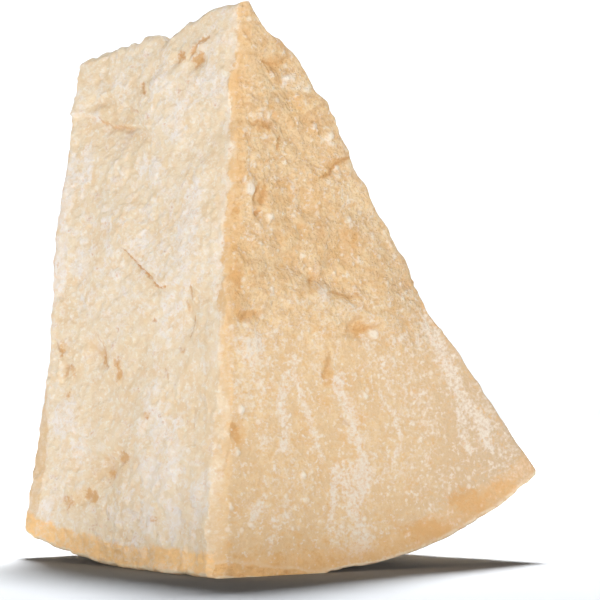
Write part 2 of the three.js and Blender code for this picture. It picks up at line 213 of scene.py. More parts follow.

# Small brown marks, in that form too. Many sit in hollows, where they are partly painted shade
NEAR_STAINS_AND_SHADE = (
    (34, 21, 8, 7, 0.45), (24, 71.5, 4, 5, 0.7), (12.5, 67.5, 3, 6, 0.8), (12, 59, 3, 6, 0.4),
    (43, 66, 3, 4, 0.7), (43.5, 60, 2.5, 5, 0.6), (50, 74, 4, 5, 0.6), (2.5, 38, 7, 4, 0.8),
    (3.5, 33, 4, 7, 0.6), (12, 31, 6, 5, 0.5), (24, 24, 6, 4, 0.8), (19, 22.5, 5, 4, 0.9),
    (14, 14, 14, 5, 0.35), (-22.4, 18.2, 3, 4, 0.6), (-9.6, 52, 5, 2.5, 0.6), (-19, 172.5, 7, 5, 0.9),
    (-8, 174, 5, 4, 0.7), (-12, 164, 8, 6, 0.35), (13, 165, 3, 5, 0.5),
)
FRONT_STAINS_AND_SHADE = (
    (-2, 126, 5, 5, 0.5), (6, 170, 9, 4, 0.5), (-15, 150, 5, 30, 0.35), (28, 137, 8, 4, 0.6),
    (22, 151, 5, 4, 0.5), (1, 150, 8, 3, 0.6), (35, 111, 6, 8, 0.5), (-12.5, 121.8, 3, 3, 0.8),
    (-10, 86, 7, 4, 0.7), (-14, 98, 4, 12, 0.6), (36, 82, 10, 4, 0.7), (22, 68, 4, 8, 0.6),
    (-16, 47, 6, 7, 0.7), (17, 99, 4, 6, 0.5), (10, 5, 60, 9, 0.45), (80, 22, 20, 8, 0.8),
    (62, 13, 18, 7, 0.8), (106, 33, 7, 7, 0.3), (95, 26, 12, 5, 0.6), (64, 10, 14, 5, 0.5),
)


def srgb(red, green, blue):
    """A colour as a paint chart gives it, from 0 to 255, as the linear one that the properties hold."""
    shares = [value / 255 for value in (red, green, blue)]
    return tuple(s / 12.92 if s <= 0.04045 else ((s + 0.055) / 1.055) ** 2.4 for s in shares)


def length(name, description, millimetres):
    metres = millimetres * MM
    return FloatProperty(
        name=name, description=description, default=metres, subtype="DISTANCE", unit="LENGTH")


def angle(name, description, degrees):
    turn = radians(degrees)
    return FloatProperty(
        name=name, description=description, default=turn, subtype="ANGLE", unit="ROTATION")


def steps(name, description, number):
    return IntProperty(name=name, description=description, default=number, min=20)


def colour(name, description, *chart):
    return FloatVectorProperty(
        name=name, description=description, default=srgb(*chart), subtype="COLOR", size=3, min=0, max=1)


class CheeseSizes(bpy.types.PropertyGroup):
    wheel_radius: length("Wheel radius", "Radius of the whole wheel", 200)
    depth: length("Depth", "Half the wheel's height, from the split to the flat rind", 118)
    rest_sink: length("Rest sink", "How much the side rind is flattened where the wedge stands", 1.8)
    near_angle: angle("Near angle", "Near break, from straight down", -6.85)
    far_angle_front: angle("Far angle, front", "Far break at the split, from straight down", 35.2)
    far_angle_back: angle("Far angle, back", "Far break at the flat rind, from straight down", 26)
    lean: FloatProperty(
        name="Split lean",
        description="How much the split leans back, as a share of its height",
        default=0.08,
    )
    relief: FloatProperty(
        name="Relief", description="Strength of the crags and grains", default=1, min=0, max=3)
    grain: length("Grain", "Width of one grain of the split", 3.6)
    rind: length("Rind", "Thickness of the rind", 8.5)
    rows: steps("Rows", "Steps of the mesh from the tip to the rind", 280)
    slices: steps("Slices", "Steps of the mesh from front to back", 128)
    columns: steps("Columns", "Steps of the mesh from near to far", 116)


class CheeseColours(bpy.types.PropertyGroup):
    cream: colour("Cream", "Near break, plain", 237, 216, 185)
    butter: colour("Butter", "Near break, warmer areas", 233, 204, 164)
    bloom: colour("Bloom", "Dry bloom on the near break", 241, 229, 217)
    band: colour("Band", "Pale band along the worn edge", 246, 228, 208)
    tan: colour("Tan", "Split, plain", 225, 191, 147)
    honey: colour("Honey", "Split, lighter areas", 234, 204, 160)
    amber: colour("Amber", "Split, warmer areas", 226, 180, 122)
    # Painted shade that darkens the split towards its far toe
    far_toe_shade: colour("Dry", "Split, towards its far toe", 205, 176, 142)
    frost: colour("Frost", "Pale veins and flecks of the split", 237, 223, 206)
    # Near hollow and front hollow are the colours of painted shade in cracks, pits and gaps between grains;
    # near hollow also flecks the skin
    near_hollow: colour("Near hollow", "Cracks of the near break", 208, 150, 88)
    front_hollow: colour("Front hollow", "Cracks of the split", 204, 150, 90)
    # Brown of the marks, partly painted shade in the hollows they sit in; it also browns the rim by the rind
    stain_and_shade: colour("Stain", "Small brown marks", 218, 166, 106)
    crystal: colour("Crystal", "White crystals", 245, 236, 222)
    # Painted light: the rind's own orange made brighter to make up for the shade along the wedge's bottom;
    # the skin is flecked with it too
    rind: colour("Rind", "Cut edge of the rind", 253, 204, 138)
    skin: colour("Skin", "Outside of the rind", 216, 170, 116)
    floor: colour("Floor", "Studio floor and wall", 177, 180, 184)


def sizes_in_mm(context):
    """The sizes with every length in millimetres."""
    sizes = context.scene.cheese_sizes
    lengths = ("wheel_radius", "depth", "rest_sink", "grain", "rind")
    plain = ("near_angle", "far_angle_front", "far_angle_back", "lean", "relief", "rows", "slices", "columns")
    values = {name: getattr(sizes, name) for name in lengths + plain}
    values.update({name: values[name] / MM for name in lengths})
    return SimpleNamespace(**values)


# Fields over points, all in millimetres

NOISE_GAIN = 1.8
FINER = 2.0  # how much finer each layer of a noise is than the one before
WEAKER = 1.0  # how fast the layers get weaker
CELL_WARP = 0.35  # how much cells are bent, as a share of their width
SEED = 7  # the bends start from it, so that each run makes the same wedge


def smooth(value, low, high):
    """Goes smoothly from 0 to 1 while the value goes from low to high."""
    share = np.clip((value - low) / (high - low), 0, 1)
    return share * share * (3 - 2 * share)


def along(points, at):
    """What a list of (place, amount) gives at other places."""
    return np.interp(at, [place for place, _ in points], [amount for _, amount in points])


def layered(points, wavelength, layers, seed, stretch=(1, 1, 1)):
    """Layered noise, mostly from -1 to 1."""
    scaled = points / (wavelength * np.array(stretch)) + seed
    return NOISE_GAIN * np.array([noise.fractal(q, WEAKER, FINER, layers) for q in scaled.tolist()])


def crumble(points, width, seed, stretch=(1, 1, 1)):
    """Crumbled cells: how far inside its cell each point is, and a random height for the whole cell."""
    scaled = points / (width * np.array(stretch)) + seed
    drift = np.array([noise.noise_vector(q) for q in (0.8 * scaled).tolist()])
    found = [noise.voronoi(q) for q in (scaled + CELL_WARP * drift).tolist()]
    inside = np.array([away[1] - away[0] for away, _ in found])
    height = np.array([noise.cell(9.7 * middle[0]) for _, middle in found])
    return inside, height


def crumbs(points, width, seed, step, groove, stretch=(1, 1, 1)):
    """Relief of cells at random heights, with grooves between them."""
    inside, height = crumble(points, width, seed, stretch)
    return step * height * smooth(inside, 0, 0.34) - groove * (1 - smooth(inside, 0, 0.3))


def terraces(height, step, ramp):
    """Turns a slope into flat plates with steep sides."""
    whole = np.floor(height / step)
    return step * (whole + smooth(height / step - whole, 0.5 - ramp, 0.5 + ramp))


def line_distance(a, b, line):
    """How far each point is from a drawn line, on which side of it, and how far along the line it lies."""
    best = np.full(len(a), np.inf)
    side = np.ones(len(a))
    travel = np.zeros(len(a))
    lengths = [np.hypot(a1 - a0, b1 - b0) for (a0, b0), (a1, b1) in zip(line, line[1:])]
    gone = 0
    for (a0, b0), (a1, b1), run in zip(line, line[1:], lengths):
        da, db = a1 - a0, b1 - b0
        t = np.clip(((a - a0) * da + (b - b0) * db) / (run * run), 0, 1)
        away = np.hypot(a - a0 - t * da, b - b0 - t * db)
        nearer = away < best
        best = np.where(nearer, away, best)
        side = np.where(nearer, np.sign(da * (b - b0) - db * (a - a0)), side)
        travel = np.where(nearer, (gone + t * run) / sum(lengths), travel)
        gone += run
    return best, side, travel


def spot(a, b, place, edge=0.2):
    """1 in the middle of a place, falling to 0 at its rim."""
    middle_a, middle_b, half_width, half_height, _ = place
    return 1 - smooth(np.hypot((a - middle_a) / half_width, (b - middle_b) / half_height), edge, 1)


def forms(a, b, places):
    """The heights of all places together."""
    return sum(place[-1] * spot(a, b, place) for place in places)


def patches(a, b, places):
    """The strength of the strongest place at each point."""
    total = np.zeros(len(a))
    for place in places:
        total = np.maximum(total, place[-1] * spot(a, b, place, 0.1))
    return total


def grooves(a, b, cracks):
    """Cracks as grooves, shallower towards their ends."""
    total = np.zeros(len(a))
    for width, dark, line in cracks:
        away, _, travel = line_distance(a, b, line)
        taper = 0.4 + 0.6 * smooth(travel, 0, 0.15) * (1 - smooth(travel, 0.85, 1))
        depth = 0.6 * dark * width ** 0.5 * taper
        total = np.minimum(total, -depth * (1 - smooth(away, 0, width + 0.8)))
    return total


def crack_fields(a, b, cracks):
    """Distance to the nearest crack, in widths of that crack, and how dark its painted shade is there."""
    offset = np.full(len(a), 4.0)
    dark = np.zeros(len(a))
    for width, darkness, line in cracks:
        away, _, travel = line_distance(a, b, line)
        taper = 0.5 + 0.5 * smooth(travel, 0, 0.2) * (1 - smooth(travel, 0.8, 1))
        offset = np.minimum(offset, away / (max(width, 0.6) * taper))
        dark = np.maximum(dark, darkness * (1 - smooth(away, width + 0.8, width + 2.2)))
    return offset, dark


def ledge_steps(a, b, ledges):
    """Each plate stands proud above its line and falls away over its reach."""
    total = np.zeros(len(a))
    for height, reach, line in ledges:
        away, side, _ = line_distance(a, b, line)
        (first, _), (last, _) = line[0], line[-1]
        above = smooth(away * side * np.sign(last - first), -0.5, 0.5)
        total += height * (above - 0.5) * np.exp(-away / reach)
    return total


# The wedge

APEX_X = -4.7
APEX_Z = 196
FRONT_Y = -58
FAR_TILT = radians(32)
RIND_TAPER = 7.5
ON_FACE = 1e-6  # points less far from a face than this lie on it
WORN_FOOT = (25, FRONT_Y, 14, 26, -1.4)  # a place of (x, y) on the side rind


def axis_height(size):
    return size.wheel_radius - size.rest_sink


def rind_radius(y, size):
    """Radius of the side rind, which draws in towards the flat rind."""
    share = np.clip(y / (size.depth + FRONT_Y), 0, 1)
    return size.wheel_radius - RIND_TAPER * share ** 1.5


def plain_points(u, v, w, size):
    """The wedge before any crag. u runs from near to far, v from tip to rind and w from front to back."""
    off_z = APEX_Z - axis_height(size)
    back_y = FRONT_Y + size.depth
    far_angle = size.far_angle_front + w * (size.far_angle_back - size.far_angle_front)
    turn = size.near_angle + u * (far_angle - size.near_angle)
    y = FRONT_Y + w * size.depth

    # The split leans, so y and z depend on each other, and a few rounds settle them
    for _ in range(4):
        tip = (APEX_Z - along(CREST, y)) / np.cos(turn)
        b = APEX_X * np.sin(turn) - off_z * np.cos(turn)
        c = APEX_X ** 2 + off_z ** 2 - rind_radius(y, size) ** 2
        reach = tip + v * (np.sqrt(b * b - c) - b - tip)
        x = APEX_X + reach * np.sin(turn)
        z = APEX_Z - reach * np.cos(turn)
        front = FRONT_Y + size.lean * z
        y = front + w * (back_y - front)
    return np.stack([x, y, z], axis=1)


def near_place(p):
    """Where each point lies on the near break, nudged a little so that drawn lines come out ragged."""
    return p[:, 1] + 0.5 * layered(p, 7, 3, 41.3), p[:, 2] + 0.5 * layered(p, 7, 3, 57.9)


def front_place(p):
    """Where each point lies on the split, nudged a little so that drawn lines come out ragged."""
    return p[:, 0] + 0.45 * layered(p, 6, 3, 33.1), p[:, 2] + 0.45 * layered(p, 6, 3, 45.7)


def near_relief(p, size):
    """Flaky plates, with fine streaks and a shallow groove beside the worn edge."""
    a, b = near_place(p)
    shells = 1.2 * layered(p, 46, 2, 3.1)
    plates = terraces(1.7 * layered(p, 24, 4, 9.4, (1, 1.2, 1)), 0.8, 0.12)
    flakes = crumbs(p, 8, 5.2, 0.45, 0.25, (1, 1.4, 1)) + crumbs(p, 3.8, 7.7, 0.3, 0.18, (1, 1.4, 1))
    patchy = smooth(layered(p, 22, 2, 77.1), -0.5, 0.5)
    fine = 0.18 * layered(p, 3.8, 2, 15.2)
    from_edge = p[:, 1] - (FRONT_Y + size.lean * p[:, 2])
    streaks = 0.05 * layered(p, 3.2, 2, 21.7, (1, 1, 12)) * (1 - smooth(from_edge, 14, 40))
    beside = -0.15 * (1 - smooth(np.abs(from_edge - 12 - 0.6 * layered(p, 12, 2, 61.7)), 0, 1.7))
    drawn = ledge_steps(a, b, NEAR_LEDGES) + grooves(a, b, NEAR_CRACKS) + forms(a, b, NEAR_FORMS)
    return shells + 0.4 * plates + (0.3 + 0.5 * patchy) * flakes + fine + streaks + beside + drawn


def roughness_of_split(p):
    """1 where the split is granular, in its upper half, falling to 0 where it is smooth."""
    return smooth(p[:, 2] + 9 * layered(p, 36, 2, 5.5), 66, 96)


def front_relief(p, size):
    """Lumps and grains, raised crystals and the chipped toe."""
    a, b = front_place(p)
    rough = roughness_of_split(p)
    lumps = (0.4 + 0.8 * rough) * layered(p, 26, 3, 11.3)
    coarse = crumbs(p, 2.3 * size.grain, 4.4, 0.42, 0.16)
    fine = crumbs(p, size.grain, 6.6, 0.17, 0.09) + 0.24 * layered(p, 4.4, 2, 6.1)
    tiny = 0.1 * layered(p, 2.4, 1, 2.2)
    rough = rough * (1 - 0.35 * smooth(p[:, 2], 140, 180))
    plates = 0.45 * terraces(1.8 * layered(p, 18, 3, 12.9), 0.8, 0.12)
    total = lumps + (0.12 + 0.88 * rough) * (coarse + fine + plates) + (0.5 + 0.5 * rough) * tiny
    total += grooves(a, b, FRONT_CRACKS) + forms(a, b, FRONT_FORMS)
    for x, z, radius in CRYSTALS:
        total += 0.5 * radius * (1 - smooth(np.hypot(a - x, b - z), 0.4 * radius, 1.5 * radius))
    return total - 0.12 * np.maximum(0, chip_height(p) - p[:, 2])


def chip_height(p):
    """How high the chipped toe reaches up the split."""
    x = p[:, 0] + 3 * layered(p, 7, 3, 71.0)
    return 5.5 * (1 - smooth(x, -26, 22)) + 0.4 * layered(p, 5, 3, 73.0)


def far_relief(p, size):
    """Larger plates than on the near break, fainter beside the split."""
    y, z = p[:, 1], p[:, 2]
    behind = smooth(y, FRONT_Y, FRONT_Y + 24)
    plates = terraces(3.0 * layered(p, 32, 4, 17.9), 1.2, 0.14)
    total = along(FAR_PROFILE, z) + (0.12 + 0.88 * behind) * (0.7 * plates + layered(p, 42, 2, 8.3))
    return total + 0.3 * layered(p, 7, 3, 2.4) + (0.4 + 0.6 * behind) * crumbs(p, 7, 2.8, 0.5, 0.35)


def weathered(p):
    """The old outside of the wheel: soft dents and small pits."""
    return 0.22 * layered(p, 9, 3, 41.0) - 0.4 * smooth(layered(p, 5, 2, 43.0), 0.2, 0.6)


def back_relief(p, size):
    """The flat rind, which swells towards its foot."""
    rim = 2.6 * (1 - smooth(p[:, 2], 20, 62))
    return rim + 0.3 * layered(p, 60, 2, 23.3) + weathered(p)


def rind_relief(p, size):
    """The side rind, worn at the foot of the split and swollen on the far side."""
    wear = forms(p[:, 0], p[:, 1], (WORN_FOOT,))
    swell = 1.3 * smooth(p[:, 0], 40, 90)
    return wear + swell + 0.3 * layered(p, 45, 2, 29.1) + weathered(p)


def tip_relief(p, size):
    return 0.9 * layered(p, 9, 4, 31.7)


def face_table(p, u, v, w, size):
    """Each face's outward direction, how far points are from it, its relief and how strong that is."""
    spread = tan(size.far_angle_front) - tan(size.near_angle)
    across = (APEX_Z - p[:, 2]) * spread
    thick = smooth(across, 1, 14)
    skew = 0.9 * sin(size.far_angle_front - size.far_angle_back)
    rind = np.stack([p[:, 0], 0 * p[:, 0], p[:, 2] - axis_height(size)], axis=1)
    rind = rind / np.linalg.norm(rind, axis=1, keepdims=True)
    near = (-cos(size.near_angle), 0, -sin(size.near_angle))
    far = Vector((cos(FAR_TILT), skew, sin(FAR_TILT))).normalized()
    front = Vector((0, -1, size.lean)).normalized()
    tip = Vector((0.3, 0, 1)).normalized()
    return {
        "near": (near, u * across, near_relief, thick),
        "far": (tuple(far), (1 - u) * across, far_relief, thick),
        "front": (tuple(front), w * size.depth, front_relief, 1),
        "back": ((0, 1, 0), (1 - w) * size.depth, back_relief, 1),
        "rind": (rind, (1 - v) * size.wheel_radius, rind_relief, 1),
        "tip": (tuple(tip), v * size.wheel_radius, tip_relief, thick),
    }


# How round the worn edges between two faces are
WORN_EDGES = (
    ("near", "front", 5.5), ("near", "back", 2.5), ("near", "rind", 1.2), ("near", "tip", 2.5),
    ("far", "front", 2.5), ("far", "back", 5), ("far", "rind", 1.2), ("front", "rind", 0.7),
    ("front", "tip", 3), ("back", "rind", 10), ("back", "tip", 1.2),
)
ROUND_SHARE = 1 - 0.5 ** 0.5
FOLLOW = 5  # how far the relief of one face pulls along the faces beside it


def broken_points(u, v, w, size):
    """The finished surface, with its plain points and how far each point lies from every face."""
    plain = plain_points(u, v, w, size)
    faces = face_table(plain, u, v, w, size)
    points = plain.copy()
    unevenness = 1 + 0.3 * layered(plain, 20, 3, 51.3)
    for one, other, plain_radius in WORN_EDGES:
        radius = plain_radius * unevenness
        for this, that in ((one, other), (other, one)):
            out, away = faces[this][:2]
            beyond = faces[that][1]
            inside = (away <= radius) & (beyond <= radius)
            depth = ROUND_SHARE * radius * (1 - away / radius) * (1 - beyond / radius) ** 2
            pull = np.where(inside, depth, 0)
            points -= pull[:, None] * np.asarray(out)
    heights = {}
    for name, (out, away, relief, strength) in faces.items():
        share = 1 - smooth(away, 0, FOLLOW)
        used = share > 0
        height = np.zeros(len(u))
        height[used] = relief(plain[used], size)
        heights[name] = height
        points += (size.relief * share * height * strength)[:, None] * np.asarray(out)
    points[:, 2] = np.maximum(points[:, 2], 0)
    return points, plain, {name: face[1] for name, face in faces.items()}, heights


def box_surface(columns, slices, rows):
    """The outside of a box as lattice points and polygons, with the hidden sides twice as coarse."""
    most = (columns, slices, rows)
    index = {}
    polygons = []

    def ring(a, b, step, edges):
        if step == 1:
            return ((a, b), (a + 1, b), (a + 1, b + 1), (a, b + 1))
        half, a1, b1 = step // 2, a + step, b + step
        corners = ((a, b), (a1, b), (a1, b1), (a, b1))
        middles = ((a + half, b), (a1, b + half), (a + half, b1), (a, b + half))
        on_edge = (b == 0, a1 == edges[0], b1 == edges[1], a == 0)
        both = zip(corners, middles, on_edge)
        return [q for corner, middle, keep in both for q in ((corner, middle) if keep else (corner,))]

    def side(axis, at, step):
        first, second = [i for i in range(3) if i != axis]
        for a in range(0, most[first], step):
            for b in range(0, most[second], step):
                keys = []
                for i, j in ring(a, b, step, (most[first], most[second])):
                    key = [0, 0, 0]
                    key[axis], key[first], key[second] = at, i, j
                    keys.append(index.setdefault(tuple(key), len(index)))
                polygons.append(keys)

    for axis, at in ((0, 0), (1, 0)):
        side(axis, at, 1)
    for axis, at in ((0, columns), (1, slices), (2, 0), (2, rows)):
        side(axis, at, 2)
    return np.array(list(index), dtype=float) / np.array(most), polygons


def paint_fields(plain, away, heights, size):
    """What the paint follows, for each point: distances in millimetres and shares from 0 to 1."""
    x, y, z = plain.T
    split = away["front"] < ON_FACE
    near = (away["near"] < ON_FACE) & ~split
    start = {
        "bloom": 0, "warm": 0, "stain_and_shade": 0, "dark": 0, "vein": 0, "rough": 0, "tone": 0,
        "gap": 1, "crack": 4, "crystal": 5, "chip": -5,
    }
    fields = {name: np.full(len(x), float(value)) for name, value in start.items()}

    drawn_near = {"bloom": NEAR_BLOOM, "warm": NEAR_WARM_AND_SHADE, "stain_and_shade": NEAR_STAINS_AND_SHADE}
    drawn_front = {"bloom": FRONT_BLOOM, "warm": FRONT_WARM_AND_SHADE, "stain_and_shade": FRONT_STAINS_AND_SHADE}
    for part, place, drawn, cracks in (
        (near, near_place, drawn_near, NEAR_CRACKS),
        (split, front_place, drawn_front, FRONT_CRACKS),
    ):
        a, b = place(plain[part])
        for name, places in drawn.items():
            fields[name][part] = patches(a, b, places)
        fields["crack"][part], fields["dark"][part] = crack_fields(a, b, cracks)

    # The rest follows the split, whose places are still in a and b
    for width, line in VEINS:
        vein = 1 - smooth(line_distance(a, b, line)[0], 0, 3 * width)
        fields["vein"][split] = np.maximum(fields["vein"][split], vein)
    crystal = np.min([np.hypot(a - cx, b - cz) - radius for cx, cz, radius in CRYSTALS], axis=0)
    fields["crystal"][split] = np.clip(crystal, -3, 5)
    fields["gap"][split], fields["tone"][split] = crumble(plain[split], size.grain, 6.6)
    fields["rough"][split] = roughness_of_split(plain[split])
    fields["rough"][(away["far"] < ON_FACE) & ~split] = 0.6
    fields["chip"][split] = np.clip(chip_height(plain[split]) - z[split], -5, 5)

    radius = np.hypot(x, z - axis_height(size))
    elsewhere = 0.6 * heights["far"]
    fields["from_edge"] = np.clip(np.where(split, away["near"], -away["front"]), -40, 40)
    fields["side_depth"] = np.clip(rind_radius(y, size) - radius, -5, 200)
    fields["end_depth"] = np.clip(FRONT_Y + size.depth - y, -5, 40)
    fields["relief"] = np.where(split, heights["front"], np.where(near, heights["near"], elsewhere))
    fields["outside"] = ((away["rind"] < ON_FACE) | (away["back"] < ON_FACE)) * 1.0
    return fields


def wedge_mesh(size):
    noise.seed_set(SEED)
    lattice, polygons = box_surface(size.columns, size.slices, size.rows)
    u, w, v = lattice.T
    points, plain, away, heights = broken_points(u, v, w, size)
    mesh = bpy.data.meshes.new(NODE)
    mesh.from_pydata((points * MM).tolist(), [], polygons)
    for name, values in paint_fields(plain, away, heights, size).items():
        layer = mesh.attributes.new(name, "FLOAT", "POINT")
        layer.data.foreach_set("value", np.ascontiguousarray(values, dtype=np.float32))
    shell = bmesh.new()
    shell.from_mesh(mesh)
    bmesh.ops.recalc_face_normals(shell, faces=shell.faces)
    shell.to_mesh(mesh)
    shell.free()
    mesh.polygons.foreach_set("use_smooth", [True] * len(mesh.polygons))
    mesh.update()
    return mesh


# Paint


class Paint:
    """A material's nodes, made with one short call each."""

    def __init__(self, name):
        self.material = bpy.data.materials.new(name)
        self.material.use_nodes = True
        self.tree = self.material.node_tree
        self.tree.nodes.clear()
        self.place = self.node("ShaderNodeTexCoord").outputs["Object"]

    def node(self, kind, inputs=None, **settings):
        made = self.tree.nodes.new(kind)
        for name, value in settings.items():
            setattr(made, name, value)
        for key, value in (inputs or {}).items():
            if isinstance(value, bpy.types.NodeSocket):
                self.tree.links.new(value, made.inputs[key])
            else:
                made.inputs[key].default_value = value
        return made

    def math(self, operation, *values, clamp=False):
        inputs = dict(enumerate(values))
        return self.node("ShaderNodeMath", inputs, operation=operation, use_clamp=clamp).outputs[0]

    def product(self, one, other):
        return self.math("MULTIPLY", one, other)

    def larger(self, one, other):
        return self.math("MAXIMUM", one, other)

    def total(self, *values, clamp=False):
        """The sum of values, each a socket, a number or a (socket, factor) pair."""
        terms = [self.product(*value) if isinstance(value, tuple) else value for value in values]
        result = terms[0]
        for term in terms[1:]:
            result = self.math("ADD", result, term)
        return self.math("ADD", result, 0.0, clamp=True) if clamp else result

    def share(self, value, low, high, at_low=0.0, at_high=1.0):
        """Goes smoothly from one share to another while a value goes from low to high."""
        inputs = {"Value": value, "From Min": low, "From Max": high, "To Min": at_low, "To Max": at_high}
        return self.node("ShaderNodeMapRange", inputs, interpolation_type="SMOOTHSTEP").outputs["Result"]

    def between(self, value, low, inside_low, inside_high, high):
        """1 inside a range of values, fading to 0 at its ends."""
        rise = self.share(value, low, inside_low)
        fall = self.share(value, inside_high, high, 1.0, 0.0)
        return self.product(rise, fall)

    def blend(self, share, one, other):
        """One colour where the share is 0 and the other where it is 1."""
        one, other = [c if isinstance(c, bpy.types.NodeSocket) else (*c, 1) for c in (one, other)]
        return self.node("ShaderNodeMix", {0: share, 6: one, 7: other}, data_type="RGBA").outputs[2]

    def flecked(self, base, colour, noise, low, high, most):
        """A base colour with flecks of another, which get stronger while the noise goes from low to high."""
        return self.blend(self.share(noise, low, high, 0.0, most), base, colour)

    def field(self, name):
        return self.node("ShaderNodeAttribute", attribute_name=name).outputs["Fac"]

    def scaled_place(self, stretch, seed):
        scale = tuple(1 / s for s in stretch)
        scaled = self.node("ShaderNodeVectorMath", {0: self.place, 1: scale}, operation="MULTIPLY").outputs[0]
        return self.node("ShaderNodeVectorMath", {0: scaled, 1: (seed, 0.7 * seed, -seed)}).outputs[0]

    def noise(self, millimetres, layers, rough, seed):
        inputs = {
            "Vector": self.scaled_place(GRAIN_STRETCH, seed),
            "Scale": 1 / (millimetres * MM),
            "Detail": layers,
            "Roughness": rough,
        }
        return self.node("ShaderNodeTexNoise", inputs).outputs["Fac"]

    def cells(self, millimetres, seed):
        inputs = {"Vector": self.scaled_place((1, 1, 1), seed), "Scale": 1 / (millimetres * MM)}
        return self.node("ShaderNodeTexVoronoi", inputs)

    def dots(self, millimetres, seed, rarity):
        """Round soft dots in some of the cells, with the radius as a share of the cell."""
        radius, strength = 0.2, 0.45
        cell = self.cells(millimetres, seed)
        chance = self.node("ShaderNodeSeparateColor", {0: cell.outputs["Color"]}).outputs[0]
        dot = self.share(cell.outputs["Distance"], 0.5 * radius, 1.5 * radius, strength, 0.0)
        return self.product(self.share(chance, rarity, rarity + 0.04), dot)

    def finish(self, shader):
        self.tree.links.new(shader.outputs[0], self.node("ShaderNodeOutputMaterial").inputs["Surface"])
        return self.material


class CheesePaint(Paint):
    """The cheese's material. Its areas share a few noises, from broad to fine."""

    def __init__(self, colours, size):
        super().__init__("aged_cheese")
        self.colours = colours
        self.rind = size.rind
        self.broad = self.noise(24, 3, 0.55, 3.0)
        self.middle = self.noise(6, 4, 0.6, 9.0)
        self.speck = self.noise(1.7, 3, 0.62, 1.0)
        self.flaky = self.noise(5.0, 6, 0.72, 12.0)
        self.grain = self.noise(2.6, 4, 0.7, 21.0)
        self.small = self.noise(1.1, 3, 0.6, 5.0)

    def near_break(self):
        """Cream paste with warmer areas, partly painted shade in hollows, under a dry whitish bloom."""
        colours, warm, relief = self.colours, self.field("warm"), self.field("relief")
        # The warmth holds painted shade too: the paste turns warmer and darker where the relief lies low
        warmth = self.total(
            (warm, 0.75), self.share(self.broad, 0.42, 0.72, -0.1, 0.35),
            self.share(self.middle, 0.42, 0.64, -0.3, 0.5), self.share(relief, -2, 0.5, 0.35, 0.0),
            self.share(self.grain, 0.4, 0.64, 0.3, -0.2), clamp=True,
        )
        paste = self.blend(warmth, colours.cream, colours.butter)
        density = self.total(
            (self.field("bloom"), 0.46), (warm, -0.1), self.share(relief, -1.5, 2, -0.1, 0.08),
            self.share(self.broad, 0.35, 0.65, 0.04, -0.04), self.flaky,
        )
        cover = self.total(
            self.share(density, 0.44, 0.7, 0.0, 0.8), self.share(self.grain, 0.46, 0.62, -0.3, 0.45),
            clamp=True,
        )
        dusted = self.blend(cover, paste, colours.bloom)
        dusted = self.flecked(dusted, colours.crystal, self.speck, 0.56, 0.68, 0.6)
        return self.flecked(dusted, colours.butter, self.speck, 0.44, 0.32, 0.65)

    def split(self):
        """Tan paste with lighter and warmer areas, the warm ones partly painted shade in hollows, with
        painted shade darkening it towards its far toe, and flecked with pale frost that gathers along veins.
        """
        colours, warm, rough = self.colours, self.field("warm"), self.field("rough")
        lightness = self.total(
            self.share(self.broad, 0.38, 0.66, 0.0, 0.4), (self.field("tone"), 0.15), (rough, 0.15),
            self.share(self.grain, 0.38, 0.64, -0.35, 0.6), clamp=True,
        )
        paste = self.blend(lightness, colours.tan, colours.honey)
        warmth = self.total(
            (warm, 0.6), self.share(self.middle, 0.45, 0.7, -0.15, 0.45),
            self.share(self.flaky, 0.48, 0.66, -0.1, 0.5), (rough, 0.12), clamp=True,
        )
        paste = self.blend(warmth, paste, colours.amber)
        # Painted shade: the paste darkens across the split towards its far toe
        across = self.node("ShaderNodeSeparateXYZ", {0: self.place}).outputs["X"]
        paste = self.flecked(paste, colours.far_toe_shade, across, 30 * MM, 105 * MM, 0.8)
        density = self.total(
            (self.field("bloom"), 0.2), (self.field("vein"), 0.17), (warm, -0.05),
            self.share(self.broad, 0.35, 0.65, -0.05, 0.03), (rough, -0.02), (self.speck, 0.42),
            (self.flaky, 0.3), (self.small, 0.28),
        )
        cover = self.share(density, 0.45, 0.69, 0.0, 0.88)
        cover = self.product(cover, self.share(self.small, 0.36, 0.6, 0.35, 1.0))
        frosted = self.blend(cover, paste, colours.frost)
        frosted = self.flecked(frosted, colours.frost, self.speck, 0.57, 0.68, 0.6)
        return self.flecked(frosted, colours.amber, self.speck, 0.43, 0.32, 0.5)

    def both_breaks(self):
        """The paint of the near break and of the split, joined at the worn edge, and the split's share."""
        from_edge = self.total(
            self.field("from_edge"), self.share(self.middle, 0.3, 0.7, -1.8, 1.8),
            self.share(self.small, 0.3, 0.7, -0.9, 0.9),
        )
        high = self.share(self.field("side_depth"), 50.0, 115.0)
        strip = self.between(from_edge, -4.6, -1.5, 1.5, 6.0)
        from_edge = self.total(from_edge, (high, 3.4), -3.4)
        is_split = self.share(from_edge, -6.4, -1.4)
        paste = self.blend(is_split, self.near_break(), self.split())

        # A pale band along the edge, painted shade along the groove behind it and a darker strip on the edge
        # itself
        band = self.between(from_edge, -9.5, -7.0, -5.0, -3.0)
        band = self.product(band, self.share(self.flaky, 0.42, 0.6, 0.1, 0.5))
        paste = self.blend(self.product(band, high), paste, self.colours.band)
        # Painted shade: the paste turns to butter along the shallow groove beside the worn edge
        groove = self.between(from_edge, -13.6, -12.2, -11.6, -10.4)
        paste = self.blend(self.product(groove, 0.3), paste, self.colours.butter)
        strip = self.product(strip, self.share(self.middle, 0.35, 0.65, 0.2, 0.6))
        paste = self.blend(strip, paste, self.blend(high, self.colours.tan, self.colours.amber))
        return paste, is_split

    def marked(self, paste, is_split):
        """Small brown marks, partly painted shade in hollows, a brown rim by the rind, and painted shade
        between grains, in pits and in cracks.
        """
        colours = self.colours
